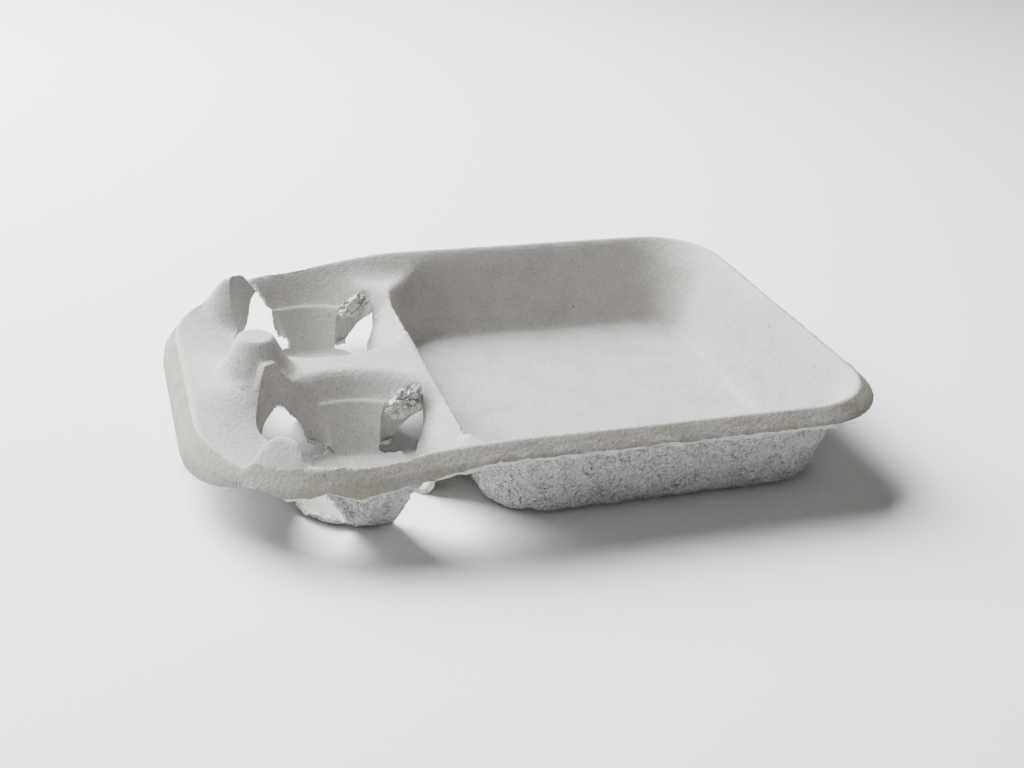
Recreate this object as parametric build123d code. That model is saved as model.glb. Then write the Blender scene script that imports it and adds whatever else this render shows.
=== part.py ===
"""Moulded pulp carry tray: one food pan and two cup wells pressed from a single sheet.

Frame: origin under the middle of the tray on its resting plane, +Z up, food pan towards +X,
cup wells towards -X, carrying sides at -Y and +Y. Millimetres.

The sheet is the space between two forms. Each form is the solid below one face of the sheet,
so every builder takes a depth: 0 gives the upper face, SHEET gives the lower face.
"""
import math
import os

from build123d import *

# ---- sheet -----------------------------------------------------------------
SHEET = 2.4                    # thickness of the dried pulp

# ---- rim -------------------------------------------------------------------
RIM_LENGTH = 297.7             # crest to crest along X
RIM_WIDTH = 215.0              # crest to crest along Y, at the food end
RIM_HEIGHT = 48.0              # crest above the resting plane, at the food end
FOOD_CORNER = 35.0             # plan radius of the two food-end corners
CUP_CORNER = 58.0              # plan radius of the two cup-end corners
BEND_X = -33.6                 # the rim falls and narrows from here to the cup end
CUP_DROP = 11.7                # fall of the crest at the cup end
CUP_NARROW = 7.4               # inward run of each side at the cup end
CREST_LAND = 3.0               # width of the rounded crest
FLANGE_RUN = 7.5               # outward run of the turned-down flange
FLANGE_DROP = 9.0              # fall of the turned-down flange
CREST_ROUND = 1.6              # rounding of the outer crest edge

# ---- food pan --------------------------------------------------------------
PAN_FLOOR_X = (-26.0, 130.5)   # ends of the flat floor
PAN_FLOOR_WIDTH = 183.0
PAN_FLOOR_CORNER = 24.0
PAN_END_RUN = 15.0             # outward run of the end wall up to the crest
PAN_DIVIDER_RUN = 14.2         # outward run of the divider side up to crest height
PAN_FOOT = 6.0                 # inside rounding where wall meets floor

# ---- cup wells -------------------------------------------------------------
WELL_X = -79.0
WELL_PITCH = 112.0             # spacing of the two wells across the tray
FLOOR_RADIUS = 29.0
LEDGE_RADIUS = 41.0
LEDGE_WIDTH = 1.4
LEDGE_HEIGHT = 25.0            # upper face of the ledge the cup hangs on
MOUTH_SLOPE = 0.55             # outward run per mm of rise, above the ledge
DIVIDER_FOOT_X = -46.5         # the wells' sloping side by the divider starts here
DIVIDER_FOOT_HEIGHT = 20.0
DIVIDER_TOP_X = -36.8          # and ends here
DIVIDER_TOP_HEIGHT = 34.0
WELL_FOOT = 3.0                # inside rounding where panel meets floor
DECK_HEIGHT = 37.0             # flat top between the wells
DECK_END_TRIM = 0.3            # share of that run taken off at the cup end
DECK_SIDE_RUN = 0.5            # outward run per mm of rise, deck up to the crest

# ---- corner recesses and their openings ------------------------------------
RECESS_FOOT = 7.5              # the recesses end above the foot of the panels
RECESS_DRAFT = 0.03            # outward run of their wall per mm of rise
INNER_RECESS_REACH = 31.0      # cup-end recess beside the middle post, from the well axis
INNER_RECESS_RADIUS = 19.5
OUTER_RECESS_REACH = 30.5      # cup-end recess beside an outer post, from the well axis
OUTER_RECESS_RADIUS = 15.0
CUP_ARCH_HALF_WIDTH = 11.0
CUP_ARCH_SPRING = 16.0         # the straight legs end here
CUP_ARCH_APEX = 32.0
PAN_RECESS_REACH = 33.2        # axis of a pan-side recess from the well axis
PAN_RECESS_RADIUS = 11.0
PAN_ARCH_HALF_WIDTH = 8.0
PAN_ARCH_SPRING = 12.0
PAN_ARCH_APEX = 22.0
ARCH_INNER = 30.5              # the openings start this far from the well axis
ARCH_OUTER = 57.0
ARCH_SHOULDER = 0.62           # share of the half width left half way up to the apex
ARCH_BULGE = 1.5               # how much above half way the shoulder sits

# ---- posts -----------------------------------------------------------------
POST_X = -115.5
SIDE_POST_X = -118.0
SIDE_POST_Y = 91.5
POST_TOP_RADIUS = 7.2
POST_FLARE = 0.52              # outward run per mm down the post
POST_HEIGHT = 54.5             # middle post
SIDE_POST_HEIGHT = 48.8        # outer posts
SHOULDER_X = -112.0            # low shoulders carry the middle post out to both recesses
SHOULDER_Y = 13.5
SHOULDER_HEIGHT = 46.0
SHOULDER_TOP_RADIUS = 4.5
POST_ROUND = 2.0
POST_SUNK = 14.0               # the flare starts this far below the deck

# ---- derived ---------------------------------------------------------------
HALF_LENGTH = RIM_LENGTH / 2
BEND_ANGLE = math.degrees(math.atan(CUP_DROP / (HALF_LENGTH + BEND_X)))
WELL_CENTRES = [(WELL_X, -WELL_PITCH / 2), (WELL_X, WELL_PITCH / 2)]
PAN_DIAGONALS = [45.0, 315.0]
CUP_DIAGONALS = [135.0, 225.0]
SIDE_POSTS = [(SIDE_POST_X, -SIDE_POST_Y), (SIDE_POST_X, SIDE_POST_Y)]
SHOULDERS = [(SHOULDER_X, -SHOULDER_Y), (SHOULDER_X, SHOULDER_Y)]
FAR = 320.0                    # each half of the rim block runs on to here
UNDER = -12.0                  # both forms run down to here and cancel below the sheet
ABOVE = 8.0                    # hollows run on this far above the parts they cut
SKIRT = 6.0                    # the block both forms share stands this far out
SKIRT_DEEP = 90.0


def grown(face: Face, grow: float) -> Face:
    """Plan face moved outwards along its edge."""
    if grow == 0.0:
        return face
    return offset(face, grow, kind=Kind.ARC).face()


def food_outline(grow: float) -> Face:
    """Plan of the crest at the food end, running on far beyond the cup end."""
    half = RIM_WIDTH / 2
    corners = [(-FAR, -half), (HALF_LENGTH, -half), (HALF_LENGTH, half), (-FAR, half)]
    face = make_face(Polyline(*corners, close=True))
    points = face.vertices().sort_by(Axis.X)[-2:]
    return grown(fillet(points, FOOD_CORNER), grow)


def cup_outline(grow: float) -> Face:
    """Plan of the crest at the cup end in its own plane, running on beyond the food end."""
    along = (HALF_LENGTH + BEND_X) / math.cos(math.radians(BEND_ANGLE))
    cup_x = BEND_X - along
    near = RIM_WIDTH / 2 - CUP_NARROW
    far = near + CUP_NARROW / along * (FAR - cup_x)
    corners = [(cup_x, -near), (FAR, -far), (FAR, far), (cup_x, near)]
    face = make_face(Polyline(*corners, close=True))
    points = face.vertices().sort_by(Axis.X)[:2]
    return grown(fillet(points, CUP_CORNER), grow)


def half_band(low_x: float, high_x: float) -> Part:
    """Tall slab that keeps one stretch of X."""
    return Pos((low_x + high_x) / 2, 0, 0) * Box(high_x - low_x, 2 * FAR, 2 * FAR)


def flanged_block(depth: float, outline) -> Part:
    """One crest outline with its turned-down flange, on the block both forms share."""
    slope = math.hypot(FLANGE_RUN, FLANGE_DROP)
    inset = depth * slope / FLANGE_DROP
    slide = depth * FLANGE_RUN / FLANGE_DROP
    top = Pos(0, 0, -depth) * outline(slide - inset)
    bottom = Pos(0, 0, -FLANGE_DROP) * outline(FLANGE_RUN - inset)
    body = loft([bottom, top], ruled=True)
    if depth == 0.0:
        crest = body.edges().filter_by(lambda e: abs(e.center().Z) < 0.01)
        body = fillet(crest, CREST_ROUND)
    shared = Pos(0, 0, -FLANGE_DROP) * extrude(outline(FLANGE_RUN + SKIRT), -SKIRT_DEEP)
    return body + shared


def rim_block(depth: float) -> Part:
    """Block under the whole rim: level over the food, falling and narrowing over the cups."""
    food = flanged_block(depth, food_outline)
    cup = Pos(-BEND_X, 0, 0) * flanged_block(depth, cup_outline)
    cup = Pos(BEND_X, 0, 0) * (Rot(0, -BEND_ANGLE, 0) * cup)
    body = Pos(0, 0, RIM_HEIGHT) * (food & cup)
    return body - Pos(0, 0, UNDER - FAR / 2) * Box(3 * FAR, 3 * FAR, FAR)


def rounded_plan(x_low: float, x_high: float, width: float, radius: float, z: float) -> Face:
    """Rounded rectangle lying at one height."""
    plan = RectangleRounded(x_high - x_low, width, radius)
    return (Pos((x_low + x_high) / 2, 0, z) * plan).face()


def pan_hollow(depth: float) -> Part:
    """Space above the food pan."""
    rise = RIM_HEIGHT - SHEET
    reach = (rise + ABOVE) / rise
    side_run = (RIM_WIDTH / 2 - CREST_LAND) - PAN_FLOOR_WIDTH / 2
    x_low, x_high = PAN_FLOOR_X
    bottom = rounded_plan(
        x_low - depth,
        x_high + depth,
        PAN_FLOOR_WIDTH + 2 * depth,
        PAN_FLOOR_CORNER + depth,
        SHEET - depth,
    )
    top = rounded_plan(
        x_low - depth - PAN_DIVIDER_RUN * reach,
        x_high + depth + PAN_END_RUN * reach,
        PAN_FLOOR_WIDTH + 2 * depth + 2 * side_run * reach,
        FOOD_CORNER - CREST_LAND + depth,
        RIM_HEIGHT + ABOVE - depth,
    )
    body = loft([bottom, top], ruled=True)
    foot = body.edges().filter_by(lambda e: abs(e.center().Z - (SHEET - depth)) < 0.01)
    return fillet(foot, PAN_FOOT + depth)


def deck_hollow(depth: float) -> Part:
    """Space above the flat deck of the cup end, up to the inside of the rim."""
    floor_z = DECK_HEIGHT - depth
    above = RIM_HEIGHT + ABOVE
    run = DECK_SIDE_RUN * (above - floor_z)
    food_side = BEND_X + PAN_FLOOR_CORNER
    cup_x = -HALF_LENGTH + CREST_LAND
    half = RIM_WIDTH / 2 - CREST_LAND
    tall = DECK_SIDE_RUN * (RIM_HEIGHT - DECK_HEIGHT)
    plan = [
        (food_side, half - tall),
        (cup_x, half - CUP_NARROW - tall * DECK_END_TRIM),
        (cup_x, -half + CUP_NARROW + tall * DECK_END_TRIM),
        (food_side, -half + tall),
    ]
    face = make_face(Polyline(*plan, close=True))
    cup_points = [v for v in face.vertices() if abs(v.X - cup_x) < 0.01]
    face = fillet(cup_points, CUP_CORNER - CREST_LAND)
    low = Pos(0, 0, floor_z) * offset(face, depth, kind=Kind.ARC).face()
    high = Pos(0, 0, above) * offset(face, depth + run, kind=Kind.ARC).face()
    body = loft([low, high], ruled=True)
    return body & half_band(-FAR, food_side)


def clear_of_divider(depth: float) -> Part:
    """Space on the cup side of the divider's sloping face."""
    run = DIVIDER_TOP_X - DIVIDER_FOOT_X
    rise = DIVIDER_TOP_HEIGHT - DIVIDER_FOOT_HEIGHT
    lean = math.degrees(math.atan2(rise, run))
    slab = Pos(0, 0, FAR / 2 - depth) * Box(2 * FAR, 2 * FAR, FAR)
    slab = Rot(0, -lean, 0) * slab
    return Pos(DIVIDER_FOOT_X, 0, DIVIDER_FOOT_HEIGHT) * slab


def well_mouth(depth: float, centre) -> Part:
    """Widening space above one ledge, stopped at the divider."""
    z_low = LEDGE_HEIGHT - depth
    z_high = RIM_HEIGHT + ABOVE
    r_low = LEDGE_RADIUS + depth
    r_high = r_low + MOUTH_SLOPE * (z_high - z_low)
    cone = Cone(r_low, r_high, z_high - z_low, align=(Align.CENTER, Align.CENTER, Align.MIN))
    body = Pos(centre[0], centre[1], z_low) * cone
    return body & clear_of_divider(depth)


def well_cup(depth: float, centre) -> Part:
    """Narrowing space below one ledge."""
    z_low = SHEET - depth
    z_high = LEDGE_HEIGHT + 1.0
    r_low = FLOOR_RADIUS + depth
    slope = (LEDGE_RADIUS - LEDGE_WIDTH - FLOOR_RADIUS) / (LEDGE_HEIGHT - SHEET)
    r_high = r_low + slope * (z_high - z_low)
    cone = Cone(r_low, r_high, z_high - z_low, align=(Align.CENTER, Align.CENTER, Align.MIN))
    foot = cone.edges().filter_by(GeomType.CIRCLE).sort_by(Axis.Z)[0]
    cone = fillet(foot, WELL_FOOT + depth)
    cone = Pos(centre[0], centre[1], z_low) * cone
    below = Pos(0, 0, DIVIDER_FOOT_HEIGHT - depth - FAR / 2) * Box(2 * FAR, 2 * FAR, FAR)
    return cone & (clear_of_divider(depth) + below)


def on_diagonal(centre, angle: float, reach: float):
    """Point at a distance from a well axis, in one diagonal direction."""
    a = math.radians(angle)
    return centre[0] + reach * math.cos(a), centre[1] + reach * math.sin(a)


def corner_recess(depth: float, centre, angle: float, reach: float, radius: float) -> Part:
    """Steep-sided recess at one corner of a well."""
    z_low = RECESS_FOOT - depth
    z_high = POST_HEIGHT + ABOVE
    r_low = radius + depth
    r_high = r_low + RECESS_DRAFT * (z_high - z_low)
    cone = Cone(r_low, r_high, z_high - z_low, align=(Align.CENTER, Align.CENTER, Align.MIN))
    x, y = on_diagonal(centre, angle, reach)
    return Pos(x, y, z_low) * cone


def arch_cutter(centre, angle: float, half: float, spring: float, apex: float) -> Part:
    """Pointed-arch prism that opens one corner recess from the floor up."""
    low = UNDER
    shoulder = half * ARCH_SHOULDER
    mid = (spring + apex) / 2 + ARCH_BULGE
    left = Line((-half, low), (-half, spring))
    rise = ThreePointArc((-half, spring), (-shoulder, mid), (0, apex))
    fall = ThreePointArc((0, apex), (shoulder, mid), (half, spring))
    right = Line((half, spring), (half, low))
    base = Line((half, low), (-half, low))
    profile = make_face([left, rise, fall, right, base])
    prism = extrude(Plane.YZ * profile, ARCH_OUTER - ARCH_INNER)
    prism = Pos(ARCH_INNER, 0, 0) * prism
    prism = Rot(0, 0, angle) * prism
    return Pos(centre[0], centre[1], 0) * prism


def post(depth: float, x: float, y: float, height: float, top_radius: float) -> Part:
    """Hollow flared post standing on the deck."""
    z_low = DECK_HEIGHT - POST_SUNK
    z_high = height - depth
    side = math.hypot(1.0, POST_FLARE)
    r_high = top_radius - depth * side + depth * POST_FLARE
    r_low = r_high + POST_FLARE * (z_high - z_low)
    cone = Cone(r_low, r_high, z_high - z_low, align=(Align.CENTER, Align.CENTER, Align.MIN))
    if depth == 0.0:
        top = cone.edges().filter_by(GeomType.CIRCLE).sort_by(Axis.Z)[-1]
        cone = fillet(top, POST_ROUND)
    return Pos(x, y, z_low) * cone


def well_space(depth: float, centre) -> Part:
    """Everything hollowed out below the ledge of one well."""
    space = well_cup(depth, centre)
    for angle in PAN_DIAGONALS:
        space += corner_recess(depth, centre, angle, PAN_RECESS_REACH, PAN_RECESS_RADIUS)
    for angle in CUP_DIAGONALS:
        outwards = math.sin(math.radians(angle)) * centre[1] > 0
        reach = OUTER_RECESS_REACH if outwards else INNER_RECESS_REACH
        radius = OUTER_RECESS_RADIUS if outwards else INNER_RECESS_RADIUS
        space += corner_recess(depth, centre, angle, reach, radius)
    return space


def form(depth: float) -> Part:
    """Solid below one face of the sheet."""
    body = rim_block(depth)
    body -= pan_hollow(depth)
    body -= deck_hollow(depth)
    for centre in WELL_CENTRES:
        body -= well_mouth(depth, centre)
    body += post(depth, POST_X, 0.0, POST_HEIGHT, POST_TOP_RADIUS)
    for x, y in SIDE_POSTS:
        body += post(depth, x, y, SIDE_POST_HEIGHT, POST_TOP_RADIUS)
    for x, y in SHOULDERS:
        body += post(depth, x, y, SHOULDER_HEIGHT, SHOULDER_TOP_RADIUS)
    for centre in WELL_CENTRES:
        body -= well_space(depth, centre)
    return body


def corner_arches(centre) -> Part:
    """The four arch prisms of one well."""
    arches = Part()
    for angle in PAN_DIAGONALS:
        arches += arch_cutter(centre, angle, PAN_ARCH_HALF_WIDTH, PAN_ARCH_SPRING, PAN_ARCH_APEX)
    for angle in CUP_DIAGONALS:
        arches += arch_cutter(centre, angle, CUP_ARCH_HALF_WIDTH, CUP_ARCH_SPRING, CUP_ARCH_APEX)
    return arches


def main_body(shape: Part) -> Part:
    """Leave out the small islands that the arches cut free."""
    largest = max(shape.solids(), key=lambda solid: solid.volume)
    return Part(largest.wrapped)


def centred(shape: Part) -> Part:
    """Slide the shape so that the middle of its box stands over the origin."""
    box = shape.bounding_box()
    return Pos(-(box.min.X + box.max.X) / 2, -(box.min.Y + box.max.Y) / 2, 0) * shape


def moulded_tray() -> Part:
    """The whole tray: one pressed sheet with its torn-open corner arches."""
    sheet = form(0.0) - form(SHEET)
    for centre in WELL_CENTRES:
        sheet -= corner_arches(centre)
    return centred(main_body(sheet))


if __name__ == "__main__":
    os.makedirs("parts", exist_ok=True)
    tray = moulded_tray()
    solids = tray.solids()
    print("solids", len(solids), [round(s.volume) for s in solids])
    print("box", tray.bounding_box())
    export_step(tray, "parts/moulded_tray.step")
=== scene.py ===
"""Looks of a moulded pulp cup carrier tray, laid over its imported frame.

The tray is one pressed sheet: a food pan and two cup wells under one turned-down rim. The sheet
is drawn as a height over the plan, in millimetres measured from the middle of the rim, then given
its thickness, its torn-open corner arches and its two faces, smooth above and felted below.
"""
import logging
import math
from dataclasses import dataclass, field
from enum import Enum, IntEnum

import bmesh
import bpy
import numpy as np
from mathutils import Matrix, Vector, geometry

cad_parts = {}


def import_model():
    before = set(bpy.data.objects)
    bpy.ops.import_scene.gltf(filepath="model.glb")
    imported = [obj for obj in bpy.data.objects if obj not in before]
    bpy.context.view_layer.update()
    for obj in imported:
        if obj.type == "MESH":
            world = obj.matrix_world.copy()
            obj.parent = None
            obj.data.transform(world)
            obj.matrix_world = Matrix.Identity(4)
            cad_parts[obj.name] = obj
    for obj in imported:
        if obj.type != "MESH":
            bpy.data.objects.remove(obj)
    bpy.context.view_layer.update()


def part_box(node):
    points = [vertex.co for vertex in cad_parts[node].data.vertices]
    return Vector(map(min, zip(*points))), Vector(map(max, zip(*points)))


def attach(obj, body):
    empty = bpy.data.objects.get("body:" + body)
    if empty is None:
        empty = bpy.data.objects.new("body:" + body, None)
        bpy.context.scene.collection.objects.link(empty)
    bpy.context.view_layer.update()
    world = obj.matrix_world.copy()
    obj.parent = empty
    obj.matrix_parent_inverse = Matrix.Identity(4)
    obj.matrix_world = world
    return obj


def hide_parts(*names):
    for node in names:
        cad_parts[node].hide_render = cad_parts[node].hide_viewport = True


MM = 0.001
NODE = "moulded_tray"
MARGIN = 0.15
Tree = bpy.types.NodeTree
Socket = bpy.types.NodeSocket
Tint = Socket | tuple[float, float, float]
log = logging.getLogger("tray")


class Face(IntEnum):
    """Faces of the sheet, which are also its material slots."""

    TOP = 0
    UNDER = 1
    TORN = 2
    # Turned-down outer face of the flange; its darker pulp is painted shade.
    RIM = 3


class Compass(Enum):
    """Diagonals of a cup well, as angles from the food pan's direction."""

    PAN_BACK = 45.0
    CUP_BACK = 135.0
    CUP_FRONT = 225.0
    PAN_FRONT = 315.0


# ---------------------------------------------------------------- sums on arrays


def smooth_min(a: np.ndarray, b: np.ndarray, blend: float) -> np.ndarray:
    """Lower of two heights, with the crossing rounded.

    Args:
        a: first heights.
        b: second heights.
        blend: difference in height below which the two are mixed.

    Returns:
        The rounded lower height.
    """
    h = np.clip(0.5 + 0.5 * (b - a) / blend, 0.0, 1.0)
    return b + (a - b) * h - blend * h * (1.0 - h)


def smooth_max(a: np.ndarray, b: np.ndarray, blend: float) -> np.ndarray:
    """Higher of two heights, with the crossing rounded.

    Args:
        a: first heights.
        b: second heights.
        blend: difference in height below which the two are mixed.

    Returns:
        The rounded higher height.
    """
    return -smooth_min(-a, -b, blend)


def ease(t: np.ndarray) -> np.ndarray:
    """Smooth step from 0 to 1."""
    t = np.clip(t, 0.0, 1.0)
    return t * t * (3.0 - 2.0 * t)


def rounded_distance(
    x: np.ndarray, y: np.ndarray, half_x: float, half_y: float, radius: float
) -> np.ndarray:
    """Distance from a rounded rectangle's outline, negative inside.

    Args:
        x: positions along X from its middle.
        y: positions along Y from its middle.
        half_x: half its length.
        half_y: half its width.
        radius: its corner radius.

    Returns:
        Signed distances.
    """
    qx = np.abs(x) - (half_x - radius)
    qy = np.abs(y) - (half_y - radius)
    outside = np.hypot(np.maximum(qx, 0.0), np.maximum(qy, 0.0))
    return np.minimum(np.maximum(qx, qy), 0.0) + outside - radius


@dataclass(frozen=True)
class Grain:
    """Repeatable smooth noise in space."""

    seed: int = 3

    def _corner(self, cell: np.ndarray) -> np.ndarray:
        """Noise value of each lattice corner, from -1 to 1.

        Args:
            cell: whole-number lattice positions, one row each.

        Returns:
            Values from -1 to 1.
        """
        c = cell.astype(np.int64)
        n = c[:, 0] * 374761393 + c[:, 1] * 668265263 + c[:, 2] * 2147483647
        n = (n + self.seed * 1274126177) & 0xFFFFFFFF
        n = ((n ^ (n >> 13)) * 1274126177) & 0xFFFFFFFF
        n = ((n ^ (n >> 16)) * 2246822519) & 0xFFFFFFFF
        return (n ^ (n >> 15)) / 2147483647.5 - 1.0

    def at(self, points: np.ndarray, size: float) -> np.ndarray:
        """Noise at points.

        Args:
            points: positions, one row each.
            size: distance between the noise's lattice points.

        Returns:
            Values from -1 to 1.
        """
        p = points / size
        low = np.floor(p)
        t = p - low
        t = t * t * (3.0 - 2.0 * t)
        total = np.zeros(len(p))
        for dx in (0, 1):
            for dy in (0, 1):
                for dz in (0, 1):
                    corner = self._corner(low + (dx, dy, dz))
                    wx = t[:, 0] if dx else 1.0 - t[:, 0]
                    wy = t[:, 1] if dy else 1.0 - t[:, 1]
                    wz = t[:, 2] if dz else 1.0 - t[:, 2]
                    total += corner * wx * wy * wz
        return total


# ---------------------------------------------------------------- parts of the form


@dataclass(frozen=True)
class Rim:
    """Crest line round the tray and the flange turned down outside it."""

    length: float = 297.7
    width: float = 215.0
    height: float = 48.0
    food_corner: float = 35.0
    cup_corner: float = 58.0
    bend_x: float = -33.6
    cup_drop: float = 11.7
    cup_narrow: float = 7.4
    flange_run: float = 7.35
    food_drop: float = 5.0
    cup_drop_more: float = 3.4
    lip_run: float = 0.9
    food_lip: float = 0.4
    cup_lip: float = 4.4
    end_pull: float = 1.3

    def along_cups(self, x: np.ndarray) -> np.ndarray:
        """How far from the bend to the cup end, from 0 to 1, with a soft start."""
        t = (self.bend_x - x) / (self.length / 2 + self.bend_x)
        return 0.5 * (t + np.sqrt(t * t + 0.0025))

    def distance(self, x: np.ndarray, y: np.ndarray) -> np.ndarray:
        """Distance outwards from the crest line in plan."""
        half = self.width / 2 - self.cup_narrow * self.along_cups(x)
        corner = np.where(x > 0, self.food_corner, self.cup_corner)
        return rounded_distance(x - self.pulled(x), y, self.length / 2, half, corner)

    def pulled(self, x: np.ndarray) -> np.ndarray:
        """How far the cup end is drawn in towards the middle."""
        return self.end_pull * ease((-x - 100.0) / 40.0)

    def crest(self, x: np.ndarray) -> np.ndarray:
        """Height of the crest."""
        return self.height - self.cup_drop * self.along_cups(x)

    def flange(self, x: np.ndarray, out: np.ndarray) -> np.ndarray:
        """Height of the turned-down flange and the short lip along its edge.

        Args:
            x: positions along the tray.
            out: distances outwards from the crest line.

        Returns:
            Heights.
        """
        cups = ease(self.along_cups(x) * 1.3 + 0.1)
        slope = (self.food_drop + self.cup_drop_more * cups) / (self.flange_run - self.lip_run)
        lip = (self.food_lip + (self.cup_lip - self.food_lip) * cups) / self.lip_run
        over = np.maximum(out - self.flange_run + self.lip_run, 0.0)
        return self.crest(x) + 0.4 - slope * (out + 0.15) - over * lip

    def ring(self, out: float, gap: float) -> np.ndarray:
        """Plan points along the crest line moved outwards.

        Args:
            out: how far outwards.
            gap: spacing of the points.

        Returns:
            One row for each point.
        """
        half = self.length / 2 + out
        points = []
        for end in (1, -1):
            corner = (self.food_corner if end > 0 else self.cup_corner) + out
            far = self.width / 2 + out - (0.0 if end > 0 else self.cup_narrow)
            near = self.width / 2 + out
            cx, cy = half - corner, far - corner
            count = max(4, int(corner * math.pi / 2 / gap))
            angles = np.linspace(0, math.pi / 2, count, endpoint=False)
            arc = np.stack([cx + corner * np.cos(angles), cy + corner * np.sin(angles)], 1)
            flat_y = np.arange(0, cy, gap)
            flat = np.stack([np.full(len(flat_y), half), flat_y], 1)
            bend = abs(self.bend_x) if end < 0 else -abs(self.bend_x)
            run_x = np.arange(bend, cx, gap)
            share = np.clip((run_x - bend) / (self.length / 2 - bend), 0, 1)
            run_y = near - (near - far) * share if end < 0 else np.full(len(run_x), near)
            run = np.stack([run_x, run_y], 1)
            side = np.concatenate([flat, arc, run])
            side[:, 0] *= end
            side[:, 0] += self.pulled(side[:, 0])
            points += [side, side * (1, -1)]
        return np.concatenate(points)


@dataclass(frozen=True)
class FoodPan:
    """Rectangular pan for the food."""

    low_x: float = -26.0
    high_x: float = 130.5
    width: float = 183.0
    corner: float = 24.0
    floor: float = 2.4
    rise: float = 45.6
    side_run: float = 13.0
    end_run: float = 15.0
    foot: float = 7.0

    def distance(self, x: np.ndarray, y: np.ndarray) -> np.ndarray:
        """Distance outwards from the floor's outline.

        Args:
            x: positions along the tray.
            y: positions across it.

        Returns:
            Signed distances, negative inside.
        """
        mid = (self.low_x + self.high_x) / 2
        half = (self.high_x - self.low_x) / 2
        return rounded_distance(x - mid, y, half, self.width / 2, self.corner)

    def height(self, x: np.ndarray, y: np.ndarray) -> np.ndarray:
        """Height of the pan's inside, running on above the rim.

        Args:
            x: positions along the tray.
            y: positions across it.

        Returns:
            Heights above the resting plane.
        """
        mid = (self.low_x + self.high_x) / 2
        half = (self.high_x - self.low_x) / 2
        qx = np.maximum(np.abs(x - mid) - (half - self.corner), 0.0)
        qy = np.maximum(np.abs(y) - (self.width / 2 - self.corner), 0.0)
        endwise = qx * qx / np.maximum(qx * qx + qy * qy, 1e-6)
        run = self.side_run + (self.end_run - self.side_run) * endwise
        wall = self.floor + self.rise * self.distance(x, y) / run
        return smooth_max(np.full_like(wall, self.floor), wall, self.foot)

    def ring(self, out: float, gap: float) -> np.ndarray:
        """Plan points along the floor's outline moved outwards.

        Args:
            out: how far outwards.
            gap: spacing of the points.

        Returns:
            One row for each point.
        """
        mid = (self.low_x + self.high_x) / 2
        half_x = (self.high_x - self.low_x) / 2 + out
        half_y = self.width / 2 + out
        corner = max(self.corner + out, 2.0)
        count = max(4, int(corner * math.pi / 2 / gap))
        angles = np.linspace(0, math.pi / 2, count, endpoint=False)
        cx, cy = half_x - corner, half_y - corner
        arc = np.stack([cx + corner * np.cos(angles), cy + corner * np.sin(angles)], 1)
        flat_y = np.arange(0, cy, gap)
        flat_x = np.arange(0, cx, gap)
        flat = np.stack([np.full(len(flat_y), half_x), flat_y], 1)
        run = np.stack([flat_x, np.full(len(flat_x), half_y)], 1)
        quarter = np.concatenate([flat, arc, run])
        turns = [quarter * (sx, sy) for sx in (1, -1) for sy in (1, -1)]
        return np.concatenate(turns) + (mid, 0.0)


@dataclass(frozen=True)
class Opening:
    """Torn-open part of one corner recess, seen outwards along its diagonal."""

    left: float
    right: float
    spring: float
    apex: float
    apex_at: float
    leaf: float = 0.0
    leaf_foot: float = 20.0
    leaf_slant: float = 0.0
    bite: float = 0.0

    def depth(self, aside: np.ndarray, z: np.ndarray) -> np.ndarray:
        """How deep places lie inside the hole, negative outside.

        Args:
            aside: sideways distances from the diagonal, left positive.
            z: heights.

        Returns:
            Depths in millimetres.
        """
        t = np.clip((z - self.spring) / (self.apex - self.spring), 0.0, 1.0)
        close = t ** 1.6
        edge = ease((z - self.leaf_foot - self.leaf_slant * (self.left - aside)) / 3.0 + 0.5)
        left = self.left + (self.apex_at - self.left) * close - edge * self.leaf * (1.0 - close)
        right = self.right + (self.apex_at - self.right) * close
        return np.minimum(np.minimum(left - aside, aside - right), self.apex - z)


@dataclass(frozen=True)
class Recess:
    """Steep-sided recess at one corner of a well, and the hole torn in it."""

    toward: Compass
    reach: float
    radius: float
    opening: Opening
    turn: float = 0.0
    gone: float = 10.5
    foot: float = 7.5
    draft: float = 0.10

    def centre(self, well_x: float, well_y: float) -> tuple[float, float]:
        """Plan point of its axis."""
        a = math.radians(self.toward.value + self.turn)
        return well_x + self.reach * math.cos(a), well_y + self.reach * math.sin(a)

    def height(self, out: np.ndarray) -> np.ndarray:
        """Height of its surface at distances outwards from its foot circle."""
        wall = self.foot + out / self.draft
        return smooth_max(np.full_like(wall, self.foot), wall, 3.0)


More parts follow.
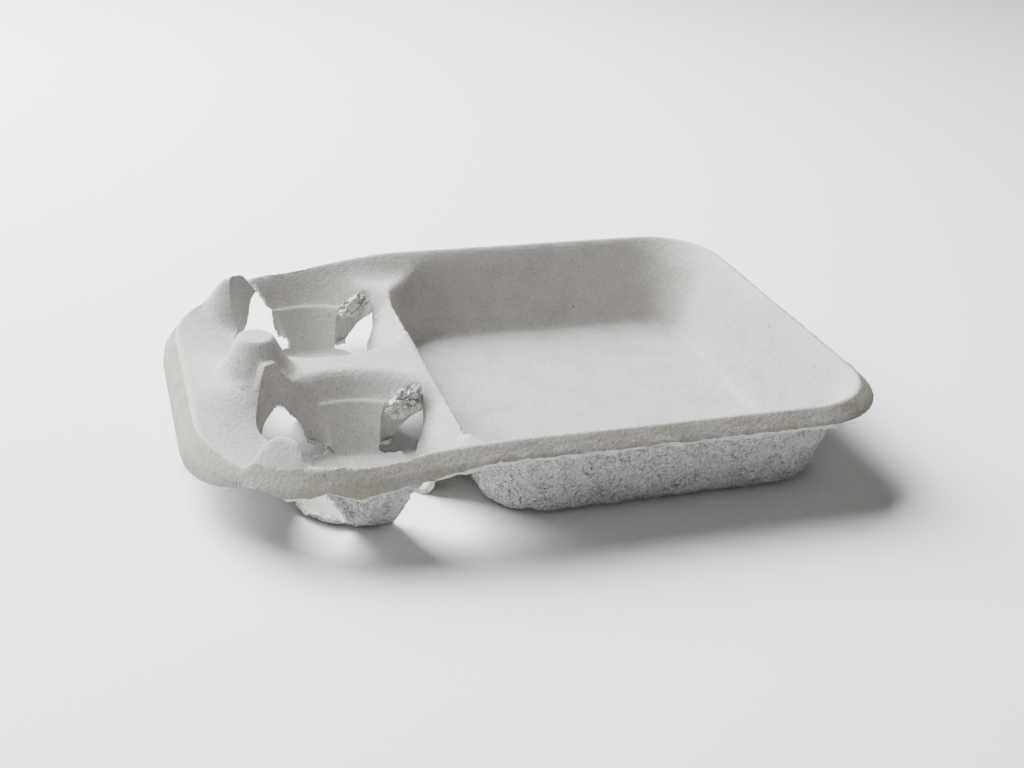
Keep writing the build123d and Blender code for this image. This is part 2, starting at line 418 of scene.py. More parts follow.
@dataclass(frozen=True)
class CupWell:
    """Round well for a cup, with a ledge, four panels and four corner recesses."""

    x: float
    y: float
    recesses: tuple[Recess, ...]
    floor: float = 2.4
    floor_radius: float = 29.0
    ledge_radius: float = 41.0
    ledge_width: float = 1.4
    ledge_height: float = 25.0
    mouth_run: float = 0.55
    divider_x: float = -46.5
    divider_foot: float = 20.0
    divider_slope: float = 1.45
    end_slack: float = 1.7

    def radius(self, x: np.ndarray, y: np.ndarray) -> np.ndarray:
        """Distance from the well's axis."""
        return np.hypot(x - self.x, y - self.y)

    def mouth(self, x: np.ndarray, y: np.ndarray) -> np.ndarray:
        """Height of the flared mouth above the ledge, gentle at the cup end, steep at the divider.

        Args:
            x: positions along the tray.
            y: positions across it.

        Returns:
            Heights above the resting plane.
        """
        away = np.maximum(self.radius(x, y), 1.0)
        run = self.mouth_run + self.end_slack * ease(((self.x - x) / away - 0.55) / 0.4)
        cone = self.ledge_height + (away - self.ledge_radius) / run
        cone = smooth_max(np.full_like(cone, self.ledge_height), cone, 0.8)
        stop = self.divider_foot + (x - self.divider_x) * self.divider_slope
        return smooth_max(cone, stop, 2.0)

    def cup(self, x: np.ndarray, y: np.ndarray) -> np.ndarray:
        """Height of the floor and of the panels up to the ledge.

        Args:
            x: positions along the tray.
            y: positions across it.

        Returns:
            Heights above the resting plane.
        """
        top = self.ledge_radius - self.ledge_width
        rise = (self.ledge_height - self.floor) / (top - self.floor_radius)
        wall = self.floor + rise * (self.radius(x, y) - self.floor_radius)
        wall = smooth_max(np.full_like(wall, self.floor), wall, 2.5)
        beyond = np.maximum(self.radius(x, y) - top, 0.0)
        past = x - self.divider_x
        stop = self.divider_foot + np.minimum(past * 5.0, past * self.divider_slope)
        return smooth_max(wall + beyond * 40.0, stop, 1.5)

    def recess(self, x: np.ndarray, y: np.ndarray, recess: Recess) -> np.ndarray:
        """Height of one corner recess.

        Args:
            x: positions along the tray.
            y: positions across it.
            recess: the recess.

        Returns:
            Heights above the resting plane.
        """
        cx, cy = recess.centre(self.x, self.y)
        wobble = 0.5 * np.sin(np.arctan2(y - cy, x - cx) * 5.0 + cx)
        return recess.height(np.hypot(x - cx, y - cy) - recess.radius + wobble)

    def opened(self, points: np.ndarray, ragged: np.ndarray) -> np.ndarray:
        """How deep each point lies inside an opening, negative outside them all.

        Args:
            points: positions on the sheet.
            ragged: noise that tears the outline.

        Returns:
            Depths in millimetres.
        """
        deepest = np.full(len(points), -99.0)
        z = points[:, 2]
        dx, dy = points[:, 0] - self.x, points[:, 1] - self.y
        for recess in self.recesses:
            a = math.radians(recess.toward.value + recess.turn)
            out = dx * math.cos(a) + dy * math.sin(a)
            aside = dy * math.cos(a) - dx * math.sin(a)
            hole = recess.opening.depth(aside, z)
            inner = self.floor_radius + 1.3 - recess.opening.bite
            hole = np.minimum(hole, np.hypot(dx, dy) - inner)
            sunk = np.minimum(out - self.ledge_radius - 1.0, recess.gone - z)
            sunk = np.minimum(sunk, recess.radius - 1.0 - np.abs(aside))
            depth = np.maximum(hole, sunk) + ragged
            near = (out > 10.0) & (out < 62.0) & (np.abs(aside) < recess.radius + 4.0)
            deepest = np.where(near, np.maximum(deepest, depth), deepest)
        return deepest

    def rings(self) -> np.ndarray:
        """Plan points on circles round the well, closest where it bends most."""
        radii = [24.5, 26.5, 28.0, 29.0, 30.0, 31.2, 32.6, 34.0, 35.5, 37.0, 38.2, 39.1]
        radii += [39.6, 40.1, 40.7, 41.3, 42.1, 43.3, 44.8, 46.3, 47.8, 49.3, 50.8, 52.3]
        return circles((self.x, self.y), radii, 1.25)

    def recess_rings(self, recess: Recess) -> np.ndarray:
        """Plan points on circles round one recess, closest on its wall.

        Args:
            recess: the recess.

        Returns:
            One row for each point.
        """
        low = recess.radius
        radii = [low - 2.4, low - 1.5]
        radii += [low - 0.9 + 0.21 * k for k in range(26)]
        return circles(recess.centre(self.x, self.y), radii, 1.15)


def circles(centre: tuple[float, float], radii: list[float], gap: float) -> np.ndarray:
    """Plan points on circles about one centre.

    Args:
        centre: the centre.
        radii: radius of each circle.
        gap: spacing of the points on each circle.

    Returns:
        One row for each point.
    """
    rows = []
    for k, radius in enumerate(radii):
        count = max(1, int(2 * math.pi * radius / gap))
        angles = (np.arange(count) + 0.5 * (k % 2)) * 2 * math.pi / count
        rows.append(np.stack([radius * np.cos(angles), radius * np.sin(angles)], 1))
    return np.concatenate(rows) + centre


@dataclass(frozen=True)
class Post:
    """Hollow flared post with a slightly tilted flat top."""

    x: float
    y: float
    height: float
    top_radius: float = 7.2
    flare: float = 0.52
    tilt_x: float = 0.0
    tilt_y: float = 0.0

    def surface(self, x: np.ndarray, y: np.ndarray) -> np.ndarray:
        """Height of the post, falling away on all sides.

        Args:
            x: positions along the tray.
            y: positions across it.

        Returns:
            Heights above the resting plane.
        """
        away = np.hypot(x - self.x, y - self.y)
        top = self.height + self.tilt_x * (x - self.x) + self.tilt_y * (y - self.y)
        flank = top - (away - self.top_radius) / self.flare
        return smooth_min(top, flank, 2.4)

    def rings(self) -> np.ndarray:
        """Plan points on circles round the post."""
        low = self.top_radius
        radii = [0.1, 1.5, 3.0, 4.5, low - 1.4, low - 0.6, low, low + 0.7, low + 1.6]
        radii += [low + 2.8, low + 4.2, low + 5.8, low + 7.6, low + 9.6]
        return circles((self.x, self.y), radii, 1.15)


@dataclass(frozen=True)
class Tuft:
    """Crumpled wad of fibre left hanging in a torn corner."""

    centre: tuple[float, float, float]
    half: tuple[float, float, float]
    turn: float
    dip: float
    seed: int
    detail: int = 4

    def mesh(self) -> tuple[np.ndarray, np.ndarray]:
        """Makes the wad.

        Returns:
            Its points and its triangles.
        """
        shape = bmesh.new()
        bmesh.ops.create_icosphere(shape, subdivisions=self.detail + 1, radius=1.0)
        unit = np.array([v.co[:] for v in shape.verts])
        faces = np.array([[v.index for v in f.verts] for f in shape.faces])
        shape.free()
        grain = Grain(self.seed)
        swell = 1.0 + grain.at(unit, 0.7) * 0.38 + grain.at(unit + 9.0, 0.33) * 0.24
        swell -= 0.45 * np.maximum(0.2 - np.abs(grain.at(unit + 4.0, 0.55)), 0.0) / 0.2
        swell += grain.at(unit + 5.0, 0.14) * 0.08
        points = unit * swell[:, None] * self.half
        spin = Matrix.Rotation(math.radians(self.turn), 3, "Z")
        spin = spin @ Matrix.Rotation(math.radians(self.dip), 3, "Y")
        return points @ np.array(spin).T + self.centre, faces


@dataclass
class PlanPoints:
    """Plan points of the sheet, where each later group keeps clear of the earlier ones."""

    half_x: float = 160.0
    half_y: float = 119.0
    cell: float = 0.3
    taken: np.ndarray = field(init=False)
    rows: list[np.ndarray] = field(default_factory=list)

    def __post_init__(self) -> None:
        """Lays out an empty map."""
        size = (int(2 * self.half_x / self.cell) + 1, int(2 * self.half_y / self.cell) + 1)
        self.taken = np.zeros(size, bool)

    def add(self, points: np.ndarray, clear: float) -> None:
        """Adds those points of a group that lie on free ground.

        Args:
            points: the group's points.
            clear: how far later groups stay away from them.
        """
        ix = ((points[:, 0] + self.half_x) / self.cell).astype(int)
        iy = ((points[:, 1] + self.half_y) / self.cell).astype(int)
        inside = (ix > 0) & (iy > 0)
        inside &= (ix < self.taken.shape[0] - 1) & (iy < self.taken.shape[1] - 1)
        points, ix, iy = points[inside], ix[inside], iy[inside]
        free = ~self.taken[ix, iy]
        points, ix, iy = points[free], ix[free], iy[free]
        reach = int(clear / self.cell)
        for dx in range(-reach, reach + 1):
            for dy in range(-reach, reach + 1):
                if dx * dx + dy * dy <= reach * reach + 0.5:
                    jx = np.clip(ix + dx, 0, self.taken.shape[0] - 1)
                    jy = np.clip(iy + dy, 0, self.taken.shape[1] - 1)
                    self.taken[jx, jy] = True
        self.rows.append(points)

    def all(self) -> np.ndarray:
        """Every accepted point."""
        return np.concatenate(self.rows)


def lattice(low_x: float, high_x: float, half_y: float, gap: float) -> np.ndarray:
    """Plan points on a triangular lattice.

    Args:
        low_x: where the lattice starts.
        high_x: where it ends.
        half_y: half its width.
        gap: spacing of the points.

    Returns:
        One row for each point.
    """
    rows = []
    for k, y in enumerate(np.arange(-half_y, half_y, gap * 0.866)):
        xs = np.arange(low_x + (k % 2) * gap / 2, high_x, gap)
        rows.append(np.stack([xs, np.full(len(xs), y)], 1))
    return np.concatenate(rows)


# ---------------------------------------------------------------- the sheet


@dataclass
class PulpSheet:
    """The whole tray as one pressed sheet."""

    rim: Rim
    pan: FoodPan
    wells: tuple[CupWell, ...]
    posts: tuple[Post, ...]
    deck: float = 37.0
    thickness: float = 2.4
    grain: Grain = Grain()

    def height(self, x: np.ndarray, y: np.ndarray) -> np.ndarray:
        """Height of the upper face.

        Args:
            x: positions along the tray.
            y: positions across it.

        Returns:
            Heights above the resting plane.
        """
        out = self.rim.distance(x, y)
        crest = self.rim.crest(x)
        inner = smooth_max(np.full_like(x, self.deck), crest + 1.25 * (out + 1.0), 6.0)
        for well in self.wells:
            inner = smooth_min(inner, well.mouth(x, y), 5.0)
        inner = smooth_min(inner, self.pan.height(x, y), 6.0)
        for post in self.posts:
            inner = smooth_max(inner, post.surface(x, y), 5.0)
        for well in self.wells:
            inner = smooth_min(inner, well.cup(x, y), 1.2)
            for recess in well.recesses:
                inner = smooth_min(inner, well.recess(x, y, recess), 3.0)
        flange = self.rim.flange(x, out)
        capped = smooth_min(inner, np.maximum(crest + 0.5, self.post_cap(x, y)), 2.0)
        return smooth_min(capped, flange, 1.8)

    def post_cap(self, x: np.ndarray, y: np.ndarray) -> np.ndarray:
        """Highest post surface at each place."""
        return np.max([post.surface(x, y) for post in self.posts], axis=0)

    def plan(self) -> np.ndarray:
        """Plan points, closest where the sheet bends."""
        points = PlanPoints()
        edge = self.rim.flange_run
        outs = [edge, edge - 0.5, edge - 1.0, 5.2, 3.9, 2.7, 1.7, 0.8, 0.0, -0.8, -1.7, -2.7]
        points.add(np.concatenate([self.rim.ring(out, 1.7) for out in outs]), 0.9)
        for well in self.wells:
            for recess in well.recesses:
                points.add(self.keep(well.recess_rings(recess)), 0.5)
        for post in self.posts:
            points.add(self.keep(post.rings()), 0.7)
        for well in self.wells:
            points.add(self.keep(well.rings()), 0.8)
        outs = [-9.0, -6.5, -4.6, -3.0, -1.6, -0.3, 1.0, 2.4, 4.0, 5.8, 7.6, 9.4, 11.0, 12.6]
        points.add(self.keep(np.concatenate([self.pan.ring(out, 2.1) for out in outs])), 1.2)
        xs = np.arange(-40.0, -27.0, 0.85)
        ys = np.arange(-106.0, 106.0, 1.7)
        fence = np.stack(np.meshgrid(xs, ys), -1).reshape(-1, 2)
        points.add(self.keep(fence), 0.8)
        points.add(self.keep(lattice(-156.0, -24.0, 114.0, 2.1)), 1.4)
        points.add(self.keep(lattice(-24.0, 156.0, 114.0, 4.6)), 2.4)
        return points.all()

    def keep(self, points: np.ndarray) -> np.ndarray:
        """Those plan points that lie inside the flange."""
        inside = self.rim.distance(points[:, 0], points[:, 1]) < self.rim.flange_run - 0.3
        return points[inside]


@dataclass
class Shell:
    """Closed mesh of a sheet: upper face, lower face and the edges between them."""

    sheet: PulpSheet
    tufts: tuple[Tuft, ...] = ()

    def triangles(self, plan: np.ndarray) -> tuple[np.ndarray, np.ndarray]:
        """Triangles over the plan points, without those outside the flange.

        Args:
            plan: plan points, one row each.

        Returns:
            The plan points and the triangles over them.
        """
        rows = [Vector(p) for p in plan]
        made = geometry.delaunay_2d_cdt(rows, [], [], 0, 1e-6)
        verts = np.array([tuple(v) for v in made[0]])
        faces = np.array(made[2])
        middle = verts[faces].mean(axis=1)
        out = self.sheet.rim.distance(middle[:, 0], middle[:, 1])
        faces = faces[out < self.sheet.rim.flange_run]
        return verts, faces

    def upper(self) -> tuple[np.ndarray, np.ndarray]:
        """Points and triangles of the upper face, openings cut."""
        plan, faces = self.triangles(self.sheet.plan())
        z = self.sheet.height(plan[:, 0], plan[:, 1])
        points = np.column_stack([plan, z])
        grain = self.sheet.grain
        edge = ease(self.sheet.rim.distance(plan[:, 0], plan[:, 1]) - 5.6)
        points[:, 2] += edge * (grain.at(points, 6.0) * 0.5 + grain.at(points, 1.8) * 0.45)
        ragged = grain.at(points, 5.0) * 0.9 + grain.at(points, 2.3) * 0.6
        ragged += grain.at(points + 50.0, 1.1) * 0.3
        depth = np.full(len(points), -99.0)
        for well in self.sheet.wells:
            depth = np.maximum(depth, well.opened(points, ragged))
        beyond = self.sheet.rim.distance(points[:, 0], points[:, 1]) > -1.0
        depth = np.where(beyond, -99.0, depth)
        return cut_away(points, faces, depth)

    def build(self, name: str) -> bpy.types.Object:
        """Makes the closed mesh object.

        Args:
            name: the object's name.

        Returns:
            The object, in metres.
        """
        points, faces = self.upper()
        points, faces = largest_piece(points, faces)
        normals = vertex_normals(points, faces)
        grain = self.sheet.grain
        top = points + normals * (grain.at(points, 14.0) * 0.12 + grain.at(points, 4.5) * 0.05)[:, None]
        lower = points - normals * self.sheet.thickness
        lower = settle(lower, faces, normals)
        lumps = grain.at(points, 5.5) * 0.7 + grain.at(points + 31.0, 2.6) * 0.45
        lumps += 0.7 * np.maximum(0.16 - np.abs(grain.at(points + 77.0, 7.0)), 0.0) / 0.16 * -1.0
        lower = lower - vertex_normals(lower, faces) * lumps[:, None]
        edge = ease(self.sheet.rim.distance(points[:, 0], points[:, 1]) - 6.0)
        hang = 1.1 + grain.at(points, 9.0) * 0.8 + grain.at(points + 13.0, 2.4) * 0.8
        lower[:, 2] -= edge * np.maximum(hang, 0.2)
        lower[:, 2] = np.maximum(lower[:, 2], 0.0)
        rims = boundary_edges(faces)
        count = len(points)
        verts = np.concatenate([top, lower])
        walls = [(a, b, b + count, a + count) for a, b in rims]
        mesh = bpy.data.meshes.new(name)
        polys = [tuple(f) for f in faces] + [tuple(f[::-1] + count) for f in faces]
        polys += [w[::-1] for w in walls]
        middle = points[faces].mean(axis=1)
        # Faces just outside the crest get the darker rim pulp, painted shade for the turned-down
        # flange.
        outside = self.sheet.rim.distance(middle[:, 0], middle[:, 1]) > 0.8
        slots = np.where(outside, Face.RIM, Face.TOP).tolist()
        slots += [Face.UNDER] * len(faces) + [Face.TORN] * len(walls)
        for tuft in self.tufts:
            wad, sides = tuft.mesh()
            polys += [tuple(f + len(verts)) for f in sides]
            slots += [Face.UNDER] * len(sides)
            verts = np.concatenate([verts, wad])
        mesh.from_pydata((verts * MM).tolist(), [], polys)
        mesh.polygons.foreach_set("material_index", np.array(slots, np.int32))
        mesh.polygons.foreach_set("use_smooth", np.ones(len(polys), bool))
        mesh.update()
        mesh.set_sharp_from_angle(angle=math.radians(44.0))
        piece = bpy.data.objects.new(name, mesh)
        bpy.context.collection.objects.link(piece)
        log.info("%s: %d corners, %d faces", name, len(verts), len(polys))
        return piece


def vertex_normals(points: np.ndarray, faces: np.ndarray) -> np.ndarray:
    """Mean normal at each point, weighted by area.

    Args:
        points: corner positions.
        faces: triangles.

    Returns:
        Unit normals, one row for each point.
    """
    a, b, c = points[faces[:, 0]], points[faces[:, 1]], points[faces[:, 2]]
    cross = np.cross(b - a, c - a)
    total = np.zeros_like(points)
    for k in range(3):
        np.add.at(total, faces[:, k], cross)
    return total / np.maximum(np.linalg.norm(total, axis=1, keepdims=True), 1e-12)


def boundary_edges(faces: np.ndarray) -> np.ndarray:
    """Directed edges that only one triangle uses.

    Args:
        faces: triangles.

    Returns:
        Pairs of point numbers.
    """
    edges = np.concatenate([faces[:, [0, 1]], faces[:, [1, 2]], faces[:, [2, 0]]])
    key = np.sort(edges, axis=1)
    _, index, count = np.unique(key, axis=0, return_index=True, return_counts=True)
    return edges[index[count == 1]]


def largest_piece(points: np.ndarray, faces: np.ndarray) -> tuple[np.ndarray, np.ndarray]:
    """Keeps the biggest connected part and drops points that nothing uses.

    Args:
        points: corner positions.
        faces: triangles.

    Returns:
        The points that are used and the renumbered triangles.
    """
    label = np.arange(len(points))
    for _ in range(400):
        low = label[faces].min(axis=1)
        before = label.copy()
        for k in range(3):
            np.minimum.at(label, faces[:, k], low)
        label = label[label]
        if np.array_equal(before, label):
            break
    kinds, sizes = np.unique(label[faces[:, 0]], return_counts=True)
    faces = faces[label[faces[:, 0]] == kinds[sizes.argmax()]]
    used = np.unique(faces)
    renumber = np.full(len(points), -1)
    renumber[used] = np.arange(len(used))
    return points[used], renumber[faces]


def cut_away(
    points: np.ndarray, faces: np.ndarray, depth: np.ndarray
) -> tuple[np.ndarray, np.ndarray]:
    """Removes the part of a mesh where a depth is positive, cutting triangles cleanly.

    Args:
        points: corner positions.
        faces: triangles.
        depth: how deep each corner lies in what is removed.

    Returns:
        The remaining points and triangles.
    """
    depth = np.where(np.abs(depth) < 0.05, -0.05, depth)
    gone = depth > 0
    share = gone[faces].sum(axis=1)
    kept = faces[share == 0].tolist()
    new_points: list[np.ndarray] = []
    made: dict[tuple[int, int], int] = {}

    def crossing(a: int, b: int) -> int:
        """Point where the cut crosses one edge.

        Args:
            a: one end of the edge.
            b: the other end.

        Returns:
            The number of the new point.
        """
        key = (min(a, b), max(a, b))
        if key not in made:
            t = depth[a] / (depth[a] - depth[b])
            made[key] = len(points) + len(new_points)
            new_points.append(points[a] + (points[b] - points[a]) * t)
        return made[key]

    for face in faces[(share == 1) | (share == 2)]:
        ring = []
        for k in range(3):
            a, b = int(face[k]), int(face[(k + 1) % 3])
            if not gone[a]:
                ring.append(a)
            if gone[a] != gone[b]:
                ring.append(crossing(a, b))
        kept += [[ring[0], ring[k], ring[k + 1]] for k in range(1, len(ring) - 1)]
    return np.concatenate([points, np.array(new_points)]), np.array(kept)


def settle(lower: np.ndarray, faces: np.ndarray, normals: np.ndarray) -> np.ndarray:
    """Relaxes the lower face where its offset has folded over itself.

    Args:
        lower: points of the lower face.
        faces: triangles.
        normals: normals of the upper face.

    Returns:
        The relaxed points.
    """
    edges = np.concatenate([faces[:, [0, 1]], faces[:, [1, 2]], faces[:, [2, 0]]])
    count = np.zeros(len(lower))
    np.add.at(count, edges[:, 0], 1.0)
    np.add.at(count, edges[:, 1], 1.0)
    face_normal = normals[faces].sum(axis=1)
    for _ in range(24):
        a, b, c = lower[faces[:, 0]], lower[faces[:, 1]], lower[faces[:, 2]]
        cross = np.cross(b - a, c - a)
        bad = (cross * face_normal).sum(axis=1) < 0.15 * np.linalg.norm(cross, axis=1)
        if not bad.any():
            break
        mark = np.zeros(len(lower), bool)
        mark[faces[bad].ravel()] = True
        near = mark[edges].any(axis=1)
        mark[edges[near].ravel()] = True
        total = np.zeros_like(lower)
        np.add.at(total, edges[:, 0], lower[edges[:, 1]])
        np.add.at(total, edges[:, 1], lower[edges[:, 0]])
        mean = total / np.maximum(count, 1.0)[:, None]
        lower = np.where(mark[:, None], lower * 0.4 + mean * 0.6, lower)
    return lower


# ---------------------------------------------------------------- finishes


@dataclass(frozen=True)
class PulpFinish:
    """Dry grey pulp: flecked, fibrous and matt."""

    name: str
    colour: tuple[float, float, float]
    shade: tuple[float, float, float]
    fleck: tuple[float, float, float]
    roughness: float
    bump: float
    lump_size: float
    relief: float
    cloud: float
    weave: float = 0.0
    cracks: float = 0.0

    def make(self) -> bpy.types.Material:
        """Builds the material's nodes."""
        material = bpy.data.materials.new(self.name)
        material.use_nodes = True
        tree = material.node_tree
        tree.nodes.clear()
        out = tree.nodes.new("ShaderNodeOutputMaterial")
        shader = tree.nodes.new("ShaderNodeBsdfPrincipled")
        shader.inputs["Roughness"].default_value = self.roughness
        shader.inputs["Specular IOR Level"].default_value = 0.25
        tree.links.new(shader.outputs[0], out.inputs[0])
        place = tree.nodes.new("ShaderNodeTexCoord").outputs["Object"]
        cloud = self._noise(tree, place, self.cloud, 4.0, 0.6)
        mix = self._mix(tree, self.shade, self.colour, cloud, 0.34, 0.56)
        fine = self._noise(tree, place, 1000.0, 3.0, 0.75)
        mix = self._mix(tree, mix, tuple(c * 0.68 for c in self.colour), fine, 0.42, 0.74)
        pale = self._noise(tree, place, 640.0, 2.0, 0.6)
        mix = self._mix(tree, mix, tuple(min(c * 1.1, 0.85) for c in self.colour), pale, 0.58, 0.75)
        flecks = self._noise(tree, place, 420.0, 2.0, 0.5)
        mix = self._mix(tree, mix, self.fleck, flecks, 0.71, 0.76)
        crack = self._cracks(tree, place) if self.cracks else None
        # Painted shade: the crack lines are darkened to half the shade colour, standing in for the
        # shadow inside the cracks.
        if crack:
            mix = self._mix(tree, tuple(c * 0.5 for c in self.shade), mix, crack, 0.0, 0.03)
        tree.links.new(mix, shader.inputs["Base Color"])
        self._bumps(tree, place, shader, crack)
        return material

    def _noise(self, tree: Tree, place: Socket, scale: float, detail: float, rough: float) -> Socket:
        """Noise texture output.

        Args:
            tree: the material's node tree.
            place: socket that gives the position.
            scale: how fine the noise is.
            detail: how many octaves it has.
            rough: how strong the finer octaves are.

        Returns:
            The noise socket.
        """
        node = tree.nodes.new("ShaderNodeTexNoise")
        node.inputs["Scale"].default_value = scale
        node.inputs["Detail"].default_value = detail
        node.inputs["Roughness"].default_value = rough
        tree.links.new(place, node.inputs["Vector"])
        return node.outputs["Fac"]

    def _mix(
        self, tree: Tree, low: Tint, high: Tint, factor: Socket, start: float, stop: float
    ) -> Socket:
        """Colour that goes from low to high as the factor goes from start to stop.

        Args:
            tree: the material's node tree.
            low: colour or socket at the start.
            high: colour or socket at the stop.
            factor: socket that drives the mix.
            start: factor at which the low colour ends.
            stop: factor at which the high colour begins.

        Returns:
            The colour socket.
        """
        ramp = tree.nodes.new("ShaderNodeMapRange")
        ramp.interpolation_type = "SMOOTHSTEP"
        ramp.inputs["From Min"].default_value = start
        ramp.inputs["From Max"].default_value = stop
        tree.links.new(factor, ramp.inputs["Value"])
        mix = tree.nodes.new("ShaderNodeMix")
        mix.data_type = "RGBA"
        tree.links.new(ramp.outputs[0], mix.inputs[0])
        for colour, socket in ((low, mix.inputs[6]), (high, mix.inputs[7])):
            if isinstance(colour, tuple):
                socket.default_value = (*colour, 1.0)
            else:
                tree.links.new(colour, socket)
        return mix.outputs[2]

    def _cracks(self, tree: Tree, place: Socket) -> Socket:
        """Value that drops to nothing along short winding cracks.

        Args:
            tree: the material's node tree.
            place: socket that gives the position.

        Returns:
            The value socket.
        """
        wander = self._noise(tree, place, self.cracks, 3.0, 0.55)
        thin = tree.nodes.new("ShaderNodeMath")
        thin.operation = "SUBTRACT"
        thin.inputs[1].default_value = 0.5
        tree.links.new(wander, thin.inputs[0])
        apart = tree.nodes.new("ShaderNodeMath")
        apart.operation = "ABSOLUTE"
        tree.links.new(thin.outputs[0], apart.inputs[0])
        where = tree.nodes.new("ShaderNodeMapRange")
        where.inputs["From Min"].default_value = 0.42
        where.inputs["From Max"].default_value = 0.56
        where.inputs["To Max"].default_value = 0.12
        tree.links.new(self._noise(tree, place, self.cracks * 0.55, 2.0, 0.5), where.inputs["Value"])
        total = tree.nodes.new("ShaderNodeMath")
        tree.links.new(apart.outputs[0], total.inputs[0])
        tree.links.new(where.outputs[0], total.inputs[1])
        return total.outputs[0]

    def _bumps(
        self, tree: Tree, place: Socket, shader: bpy.types.Node, crack: Socket | None
    ) -> None:
        """Fibre, lump and crack relief.

        Args:
            tree: the material's node tree.
            place: socket that gives the position.
            shader: shader that takes the normal.
            crack: crack value, or None without cracks.
        """
        fibre = self._noise(tree, place, 700.0, 4.0, 0.65)
        lump = self._noise(tree, place, 1000.0 / self.lump_size, 3.0, 0.55)
        first = tree.nodes.new("ShaderNodeBump")
        first.inputs["Strength"].default_value = self.bump
        first.inputs["Distance"].default_value = self.relief * MM
        tree.links.new(lump, first.inputs["Height"])
        second = tree.nodes.new("ShaderNodeBump")
        second.inputs["Strength"].default_value = self.bump
        second.inputs["Distance"].default_value = self.relief * 0.5 * MM
        tree.links.new(fibre, second.inputs["Height"])
        tree.links.new(first.outputs[0], second.inputs["Normal"])
        third = tree.nodes.new("ShaderNodeBump")
        third.inputs["Strength"].default_value = self.weave
        third.inputs["Distance"].default_value = 0.0002
        tree.links.new(self._hatch(tree, place), third.inputs["Height"])
        tree.links.new(second.outputs[0], third.inputs["Normal"])
        last = third
        if crack:
            last = tree.nodes.new("ShaderNodeBump")
            last.inputs["Strength"].default_value = 1.0
            last.inputs["Distance"].default_value = 12.0 * MM
            tree.links.new(crack, last.inputs["Height"])
            tree.links.new(third.outputs[0], last.inputs["Normal"])
        tree.links.new(last.outputs[0], shader.inputs["Normal"])

    def _hatch(self, tree: Tree, place: Socket) -> Socket:
        """Fine slanting lines left by the wire of the mould.

        Args:
            tree: the material's node tree.
            place: socket that gives the position.

        Returns:
            The line value socket.
        """
        turn = tree.nodes.new("ShaderNodeMapping")
        turn.inputs["Rotation"].default_value = (0.0, 0.785, 0.3)
        tree.links.new(place, turn.inputs["Vector"])
        wave = tree.nodes.new("ShaderNodeTexWave")
        wave.inputs["Scale"].default_value = 300.0
        wave.inputs["Distortion"].default_value = 1.5
        tree.links.new(turn.outputs[0], wave.inputs["Vector"])
        return wave.outputs["Fac"]


PRESSED = PulpFinish(
    "pressed_pulp",
    (0.455, 0.445, 0.425),
    (0.395, 0.384, 0.362),
    (0.20, 0.17, 0.13),
    roughness=0.88,
    bump=0.55,
    lump_size=2.2,
    relief=0.7,
    cloud=45.0,
    weave=0.12,
)
# Painted shade: a darker copy of the pressed pulp for the flange's turned-down outer face, which faces
# away from the key light.
SHADED_RIM_FACE = PulpFinish(
    "rim_pulp_painted_shade",
    (0.30, 0.29, 0.255),
    (0.25, 0.24, 0.205),
    (0.18, 0.15, 0.11),
    roughness=0.9,
    bump=0.6,
    lump_size=2.0,
    relief=0.8,
    cloud=80.0,
    weave=0.14,
)
# Felted underside: its greener tone is the pulp's own, but it is made paler than the pulp is, painted
# light standing in for light bounced up from the floor.
FELTED_BOUNCE_LIT = PulpFinish(
    "felted_pulp_bounce_lit",
    (0.80, 0.83, 0.80),
    (0.72, 0.745, 0.715),
    (0.30, 0.28, 0.22),
    roughness=0.95,
    bump=1.0,
    lump_size=2.6,
    relief=2.2,
    cloud=120.0,
    cracks=210.0,
)
TORN = PulpFinish(
    "torn_pulp",
    (0.66, 0.65, 0.60),
    (0.42, 0.41, 0.36),
    (0.18, 0.15, 0.11),
    roughness=0.95,
    bump=1.0,
    lump_size=1.4,
    relief=1.2,
    cloud=400.0,
)


# ---------------------------------------------------------------- studio


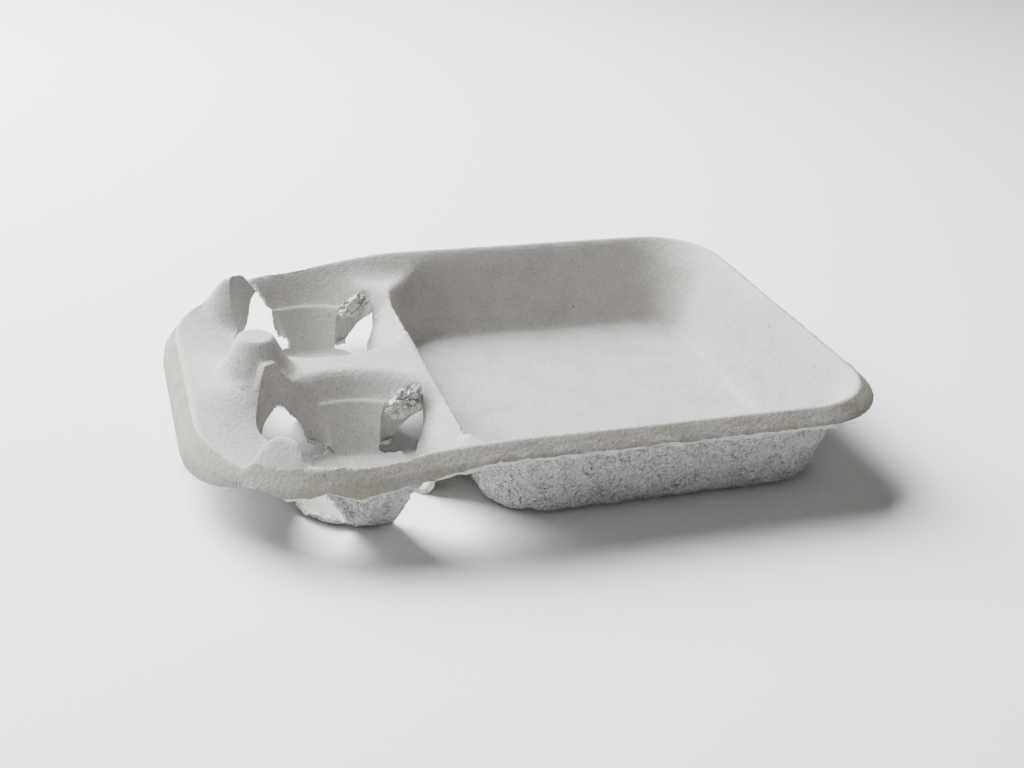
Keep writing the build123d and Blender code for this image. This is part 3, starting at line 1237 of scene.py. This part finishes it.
@dataclass(frozen=True)
class Studio:
    """Pale floor, soft lights and the camera."""

    eye: tuple[float, float, float] = (-183.03, -565.04, 312.31)
    yaw: float = 18.717
    pitch: float = 26.343
    roll: float = 3.103
    lens: float = 47.57
    floor_size: float = 6.0
    floor_drop: float = 0.0002

    def floor(self) -> None:
        """Lays the pale floor."""
        mesh = bpy.data.meshes.new("floor")
        s = self.floor_size
        z = -self.floor_drop
        mesh.from_pydata([(-s, -s, z), (s, -s, z), (s, s, z), (-s, s, z)], [], [(0, 1, 2, 3)])
        floor = bpy.data.objects.new("floor", mesh)
        bpy.context.collection.objects.link(floor)
        material = bpy.data.materials.new("pale_floor")
        material.use_nodes = True
        shader = material.node_tree.nodes["Principled BSDF"]
        shader.inputs["Base Color"].default_value = (0.86, 0.86, 0.86, 1.0)
        shader.inputs["Roughness"].default_value = 0.9
        mesh.materials.append(material)

    def lights(self) -> None:
        """Hangs the soft lights."""
        world = bpy.data.worlds.new("studio")
        bpy.context.scene.world = world
        world.use_nodes = True
        world.node_tree.nodes["Background"].inputs[0].default_value = (1.0, 0.98, 0.95, 1.0)
        world.node_tree.nodes["Background"].inputs[1].default_value = 0.16
        self._area("key", (-0.62, 0.76, 1.08), 1.25, 120.0)
        self._area("rake", (-1.15, -0.8, 0.2), 0.4, 1.6)

    def _area(self, name: str, place: tuple[float, float, float], size: float, power: float) -> None:
        """One soft square light aimed at the tray.

        Args:
            name: the light's name.
            place: where it hangs, in metres.
            size: its side, in metres.
            power: its power, in watts.
        """
        data = bpy.data.lights.new(name, "AREA")
        data.size = size
        data.energy = power
        lamp = bpy.data.objects.new(name, data)
        lamp.location = place
        lamp.rotation_euler = (-Vector(place)).to_track_quat("-Z", "Y").to_euler()
        bpy.context.collection.objects.link(lamp)

    def camera(self, middle: float) -> None:
        """Stands the camera.

        Args:
            middle: where the middle of the rim lies along X, in millimetres.
        """
        yaw, pitch, roll = (math.radians(v) for v in (self.yaw, self.pitch, self.roll))
        ahead = Vector((
            math.sin(yaw) * math.cos(pitch),
            math.cos(yaw) * math.cos(pitch),
            -math.sin(pitch),
        ))
        level = Vector((math.cos(yaw), -math.sin(yaw), 0.0))
        above = level.cross(ahead)
        right = level * math.cos(roll) + above * math.sin(roll)
        up = above * math.cos(roll) - level * math.sin(roll)
        data = bpy.data.cameras.new("camera")
        data.lens = self.lens
        data.sensor_width = 36.0
        camera = bpy.data.objects.new("camera", data)
        place = Matrix((right, up, -ahead)).transposed().to_4x4()
        place.translation = (Vector(self.eye) + Vector((middle, 0, 0))) * MM
        camera.matrix_world = place
        bpy.context.collection.objects.link(camera)
        bpy.context.scene.camera = camera


# ---------------------------------------------------------------- the tray


@dataclass
class CupCarrier:
    """The moulded tray as one dressed piece."""

    middle: float
    rim: Rim = Rim()
    pan: FoodPan = FoodPan()

    def wells(self) -> tuple[CupWell, ...]:
        """The two cup wells with their openings."""
        pan_hole = Opening(9.5, -11.5, 3.0, 25.0, -6.0)
        back_hole = Opening(10.0, -14.5, 10.0, 42.5, -12.5, 12.0, 12.0, 0.3)
        front_pan_hole = Opening(16.0, -13.5, 20.0, 31.0, 0.0, bite=12.0)
        back = CupWell(-79.0, 56.0, (
            Recess(Compass.PAN_BACK, 33.2, 9.8, pan_hole),
            Recess(Compass.CUP_BACK, 31.0, 14.0, back_hole, -1.0),
            Recess(Compass.CUP_FRONT, 31.0, 17.8, Opening(13.0, -15.0, 14.0, 30.0, 6.0)),
            Recess(Compass.PAN_FRONT, 33.2, 9.8, pan_hole),
        ))
        front = CupWell(-79.0, -56.0, (
            Recess(Compass.PAN_BACK, 33.2, 9.8, pan_hole),
            Recess(Compass.CUP_BACK, 31.0, 17.8, Opening(16.5, -16.5, 4.0, 25.5, -9.0)),
            Recess(Compass.CUP_FRONT, 29.5, 14.0, Opening(13.0, -15.5, 19.0, 30.0, 0.0), gone=27.0),
            Recess(Compass.PAN_FRONT, 33.2, 9.8, front_pan_hole, gone=28.0),
        ))
        return front, back

    def posts(self) -> tuple[Post, ...]:
        """The three posts at the cup end, and the two shoulders of the middle one."""
        return (
            Post(-115.5, 0.0, 54.6, 8.0, tilt_x=-0.04),
            Post(-112.0, -13.5, 46.5, 3.5, 0.45),
            Post(-112.0, 13.5, 46.5, 3.5, 0.45),
            Post(-118.5, -92.5, 48.5, tilt_y=0.03),
            Post(-116.5, 90.5, 48.3),
        )

    def build(self) -> bpy.types.Object:
        """Makes the tray, dresses it and hands it to the frame."""
        sheet = PulpSheet(self.rim, self.pan, self.wells(), self.posts())
        tufts = (
            Tuft((-53.5, -30.5, 29.5), (9.0, 4.2, 5.6), 20.0, -24.0, 11),
            Tuft((-54.5, 82.0, 29.0), (8.5, 4.0, 6.0), 25.0, -20.0, 12),
        )
        piece = Shell(sheet, tufts).build("pulp_sheet")
        for finish in (PRESSED, FELTED_BOUNCE_LIT, TORN, SHADED_RIM_FACE):
            piece.data.materials.append(finish.make())
        piece.data.transform(Matrix.Translation((self.middle * MM, 0, 0)))
        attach(piece, "root")
        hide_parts(NODE)
        return piece


def main() -> None:
    """Builds the tray and the studio."""
    logging.basicConfig(level=logging.INFO, format="%(name)s: %(message)s")
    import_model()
    high_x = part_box(NODE)[1][0] / MM
    rim = Rim()
    carrier = CupCarrier(high_x - rim.length / 2 - rim.flange_run - MARGIN, rim)
    carrier.build()
    studio = Studio()
    studio.floor()
    studio.lights()
    studio.camera(carrier.middle)


if __name__ == "__main__":
    main()
